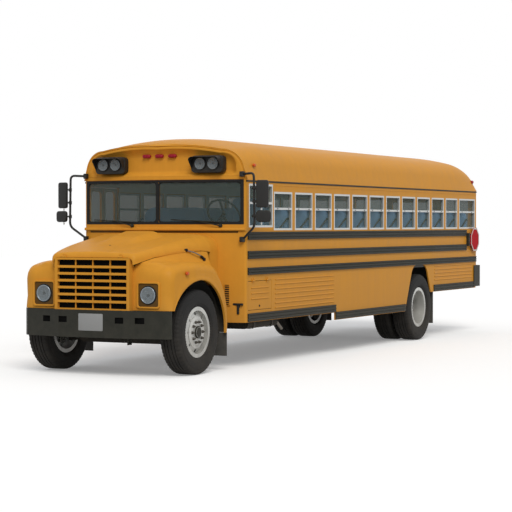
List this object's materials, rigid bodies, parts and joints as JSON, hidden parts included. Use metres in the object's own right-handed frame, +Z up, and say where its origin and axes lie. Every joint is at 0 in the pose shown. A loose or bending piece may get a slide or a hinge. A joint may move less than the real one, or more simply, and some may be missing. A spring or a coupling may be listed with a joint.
{
  "type": "school bus",
  "caption": "Conventional school bus with a front engine, bowed windscreen, opening hood and doors, a folding stop arm, steered front wheels and twin rear wheels.",
  "frame": {"origin": "on the ground under the middle of the bounding box", "axes": "+X forward, +Y to the driver's side, +Z up"},
  "size_m": [10.71, 3.2, 2.9699],
  "materials": {
    "yellow_paint": "gloss",
    "black_paint": "satin",
    "chassis_black": "matte",
    "bumper_grey": "satin",
    "wheel_silver": "satin",
    "sign_red": "satin",
    "cast": "rough",
    "pipe_steel": "brushed",
    "sash_metal": "satin",
    "pane": "clear",
    "lamp_clear": "gloss",
    "lamp_red": "gloss",
    "seat_vinyl": "satin",
    "floor_rubber": "matte",
    "trim_plastic": "matte",
    "tyre_rubber": "matte"
  },
  "bodies": {
    "chassis": {"cowl": "yellow_paint", "dashboard": "trim_plastic", "drive_shaft": "chassis_black", "driver_seat": "seat_vinyl", "engine": "cast", "exhaust": "pipe_steel", "fender_left": "yellow_paint", "fender_right": "yellow_paint", "floor": "floor_rubber", "frame_rails": "chassis_black", "front_axle": "chassis_black", "front_bumper": "bumper_grey", "front_cap": "yellow_paint", "fuel_tank": "chassis_black", "grille": "yellow_paint", "headlights": "lamp_clear", "lamp_pods": "yellow_paint", "lamps": "lamp_red", "leaf_springs": "chassis_black", "mirrors": "trim_plastic", "mud_flaps": "floor_rubber", "radiator": "chassis_black", "rear_axle": "chassis_black", "rear_bumper": "black_paint", "rear_cap": "yellow_paint", "rear_wall": "yellow_paint", "roof": "yellow_paint", "rub_rails": "black_paint", "screen_frame": "yellow_paint", "seats": "seat_vinyl", "skirt_left": "yellow_paint", "skirt_right": "yellow_paint", "step_well": "floor_rubber", "stop_bracket": "black_paint", "wall_left": "yellow_paint", "wall_right": "yellow_paint", "window_frames": "sash_metal", "window_glass": "pane", "windshield": "pane"},
    "hood": {"hood": "yellow_paint"},
    "battery_door": {"battery_door": "yellow_paint"},
    "entry_door_front": {"entry_door_front": "yellow_paint", "entry_glass_front": "pane"},
    "entry_door_rear": {"entry_door_rear": "yellow_paint", "entry_glass_rear": "pane"},
    "rear_door": {"rear_door": "yellow_paint", "rear_door_glass": "pane"},
    "stop_arm": {"stop_arm": "sign_red"},
    "knuckle_left": {"knuckle_left": "cast"},
    "knuckle_right": {"knuckle_right": "cast"},
    "tie_rod": {"tie_rod": "chassis_black"},
    "wheel_front_left": {"tyre_front_left": "tyre_rubber", "wheel_front_left": "wheel_silver"},
    "wheel_front_right": {"tyre_front_right": "tyre_rubber", "wheel_front_right": "wheel_silver"},
    "wheels_rear_left": {"tyres_rear_left": "tyre_rubber", "wheels_rear_left": "wheel_silver"},
    "wheels_rear_right": {"tyres_rear_right": "tyre_rubber", "wheels_rear_right": "wheel_silver"}
  },
  "joints": [
    {"name": "hood_tilt", "type": "hinge", "parent": "chassis", "child": "hood", "pos_m": [5.322, 0, 1.442], "axis": [0, 1, 0], "range_deg": [0, 60]},
    {"name": "battery_door_hinge", "type": "hinge", "parent": "chassis", "child": "battery_door", "pos_m": [3.18, 1.212, 1.116], "axis": [1, 0, 0], "range_deg": [0, 80]},
    {"name": "entry_front_hinge", "type": "hinge", "parent": "chassis", "child": "entry_door_front", "pos_m": [3.515, -1.212, 1.3], "axis": [0, 0, 1], "range_deg": [0, 90]},
    {"name": "entry_rear_hinge", "type": "hinge", "parent": "chassis", "child": "entry_door_rear", "pos_m": [2.815, -1.212, 1.3], "axis": [0, 0, 1], "range_deg": [-90, 0]},
    {"name": "rear_door_hinge", "type": "hinge", "parent": "chassis", "child": "rear_door", "pos_m": [-5.197, -0.466, 1.75], "axis": [0, 0, 1], "range_deg": [0, 100]},
    {"name": "stop_arm_hinge", "type": "hinge", "parent": "chassis", "child": "stop_arm", "pos_m": [-4.735, 1.25, 1.571], "axis": [0, 0, -1], "range_deg": [0, 90]},
    {"name": "steer_left", "type": "hinge", "parent": "chassis", "child": "knuckle_left", "pos_m": [4.595, 0.87, 0.52], "axis": [0, 0, 1], "range_deg": [-35, 35]},
    {"name": "steer_right", "type": "hinge", "parent": "chassis", "child": "knuckle_right", "pos_m": [4.595, -0.87, 0.52], "axis": [0, 0, 1], "range_deg": [-35, 35]},
    {"name": "tie_rod_pivot", "type": "hinge", "parent": "knuckle_left", "child": "tie_rod", "pos_m": [4.445, 0.87, 0.378], "axis": [0, 0, 1], "range_deg": [-35, 35]},
    {"name": "spin_front_left", "type": "hinge", "parent": "knuckle_left", "child": "wheel_front_left", "pos_m": [4.595, 0.945, 0.52], "axis": [0, 1, 0], "continuous": true},
    {"name": "spin_front_right", "type": "hinge", "parent": "knuckle_right", "child": "wheel_front_right", "pos_m": [4.595, -0.945, 0.52], "axis": [0, 1, 0], "continuous": true},
    {"name": "spin_rear_left", "type": "hinge", "parent": "chassis", "child": "wheels_rear_left", "pos_m": [-2.48, 1.068, 0.52], "axis": [0, 1, 0], "continuous": true},
    {"name": "spin_rear_right", "type": "hinge", "parent": "chassis", "child": "wheels_rear_right", "pos_m": [-2.48, -1.068, 0.52], "axis": [0, 1, 0], "continuous": true}
  ],
  "couplings": [
    {"joint": "steer_right", "follows": "steer_left", "ratio": 1},
    {"joint": "tie_rod_pivot", "follows": "steer_left", "ratio": -1},
    {"joint": "entry_rear_hinge", "follows": "entry_front_hinge", "ratio": -1}
  ]
}
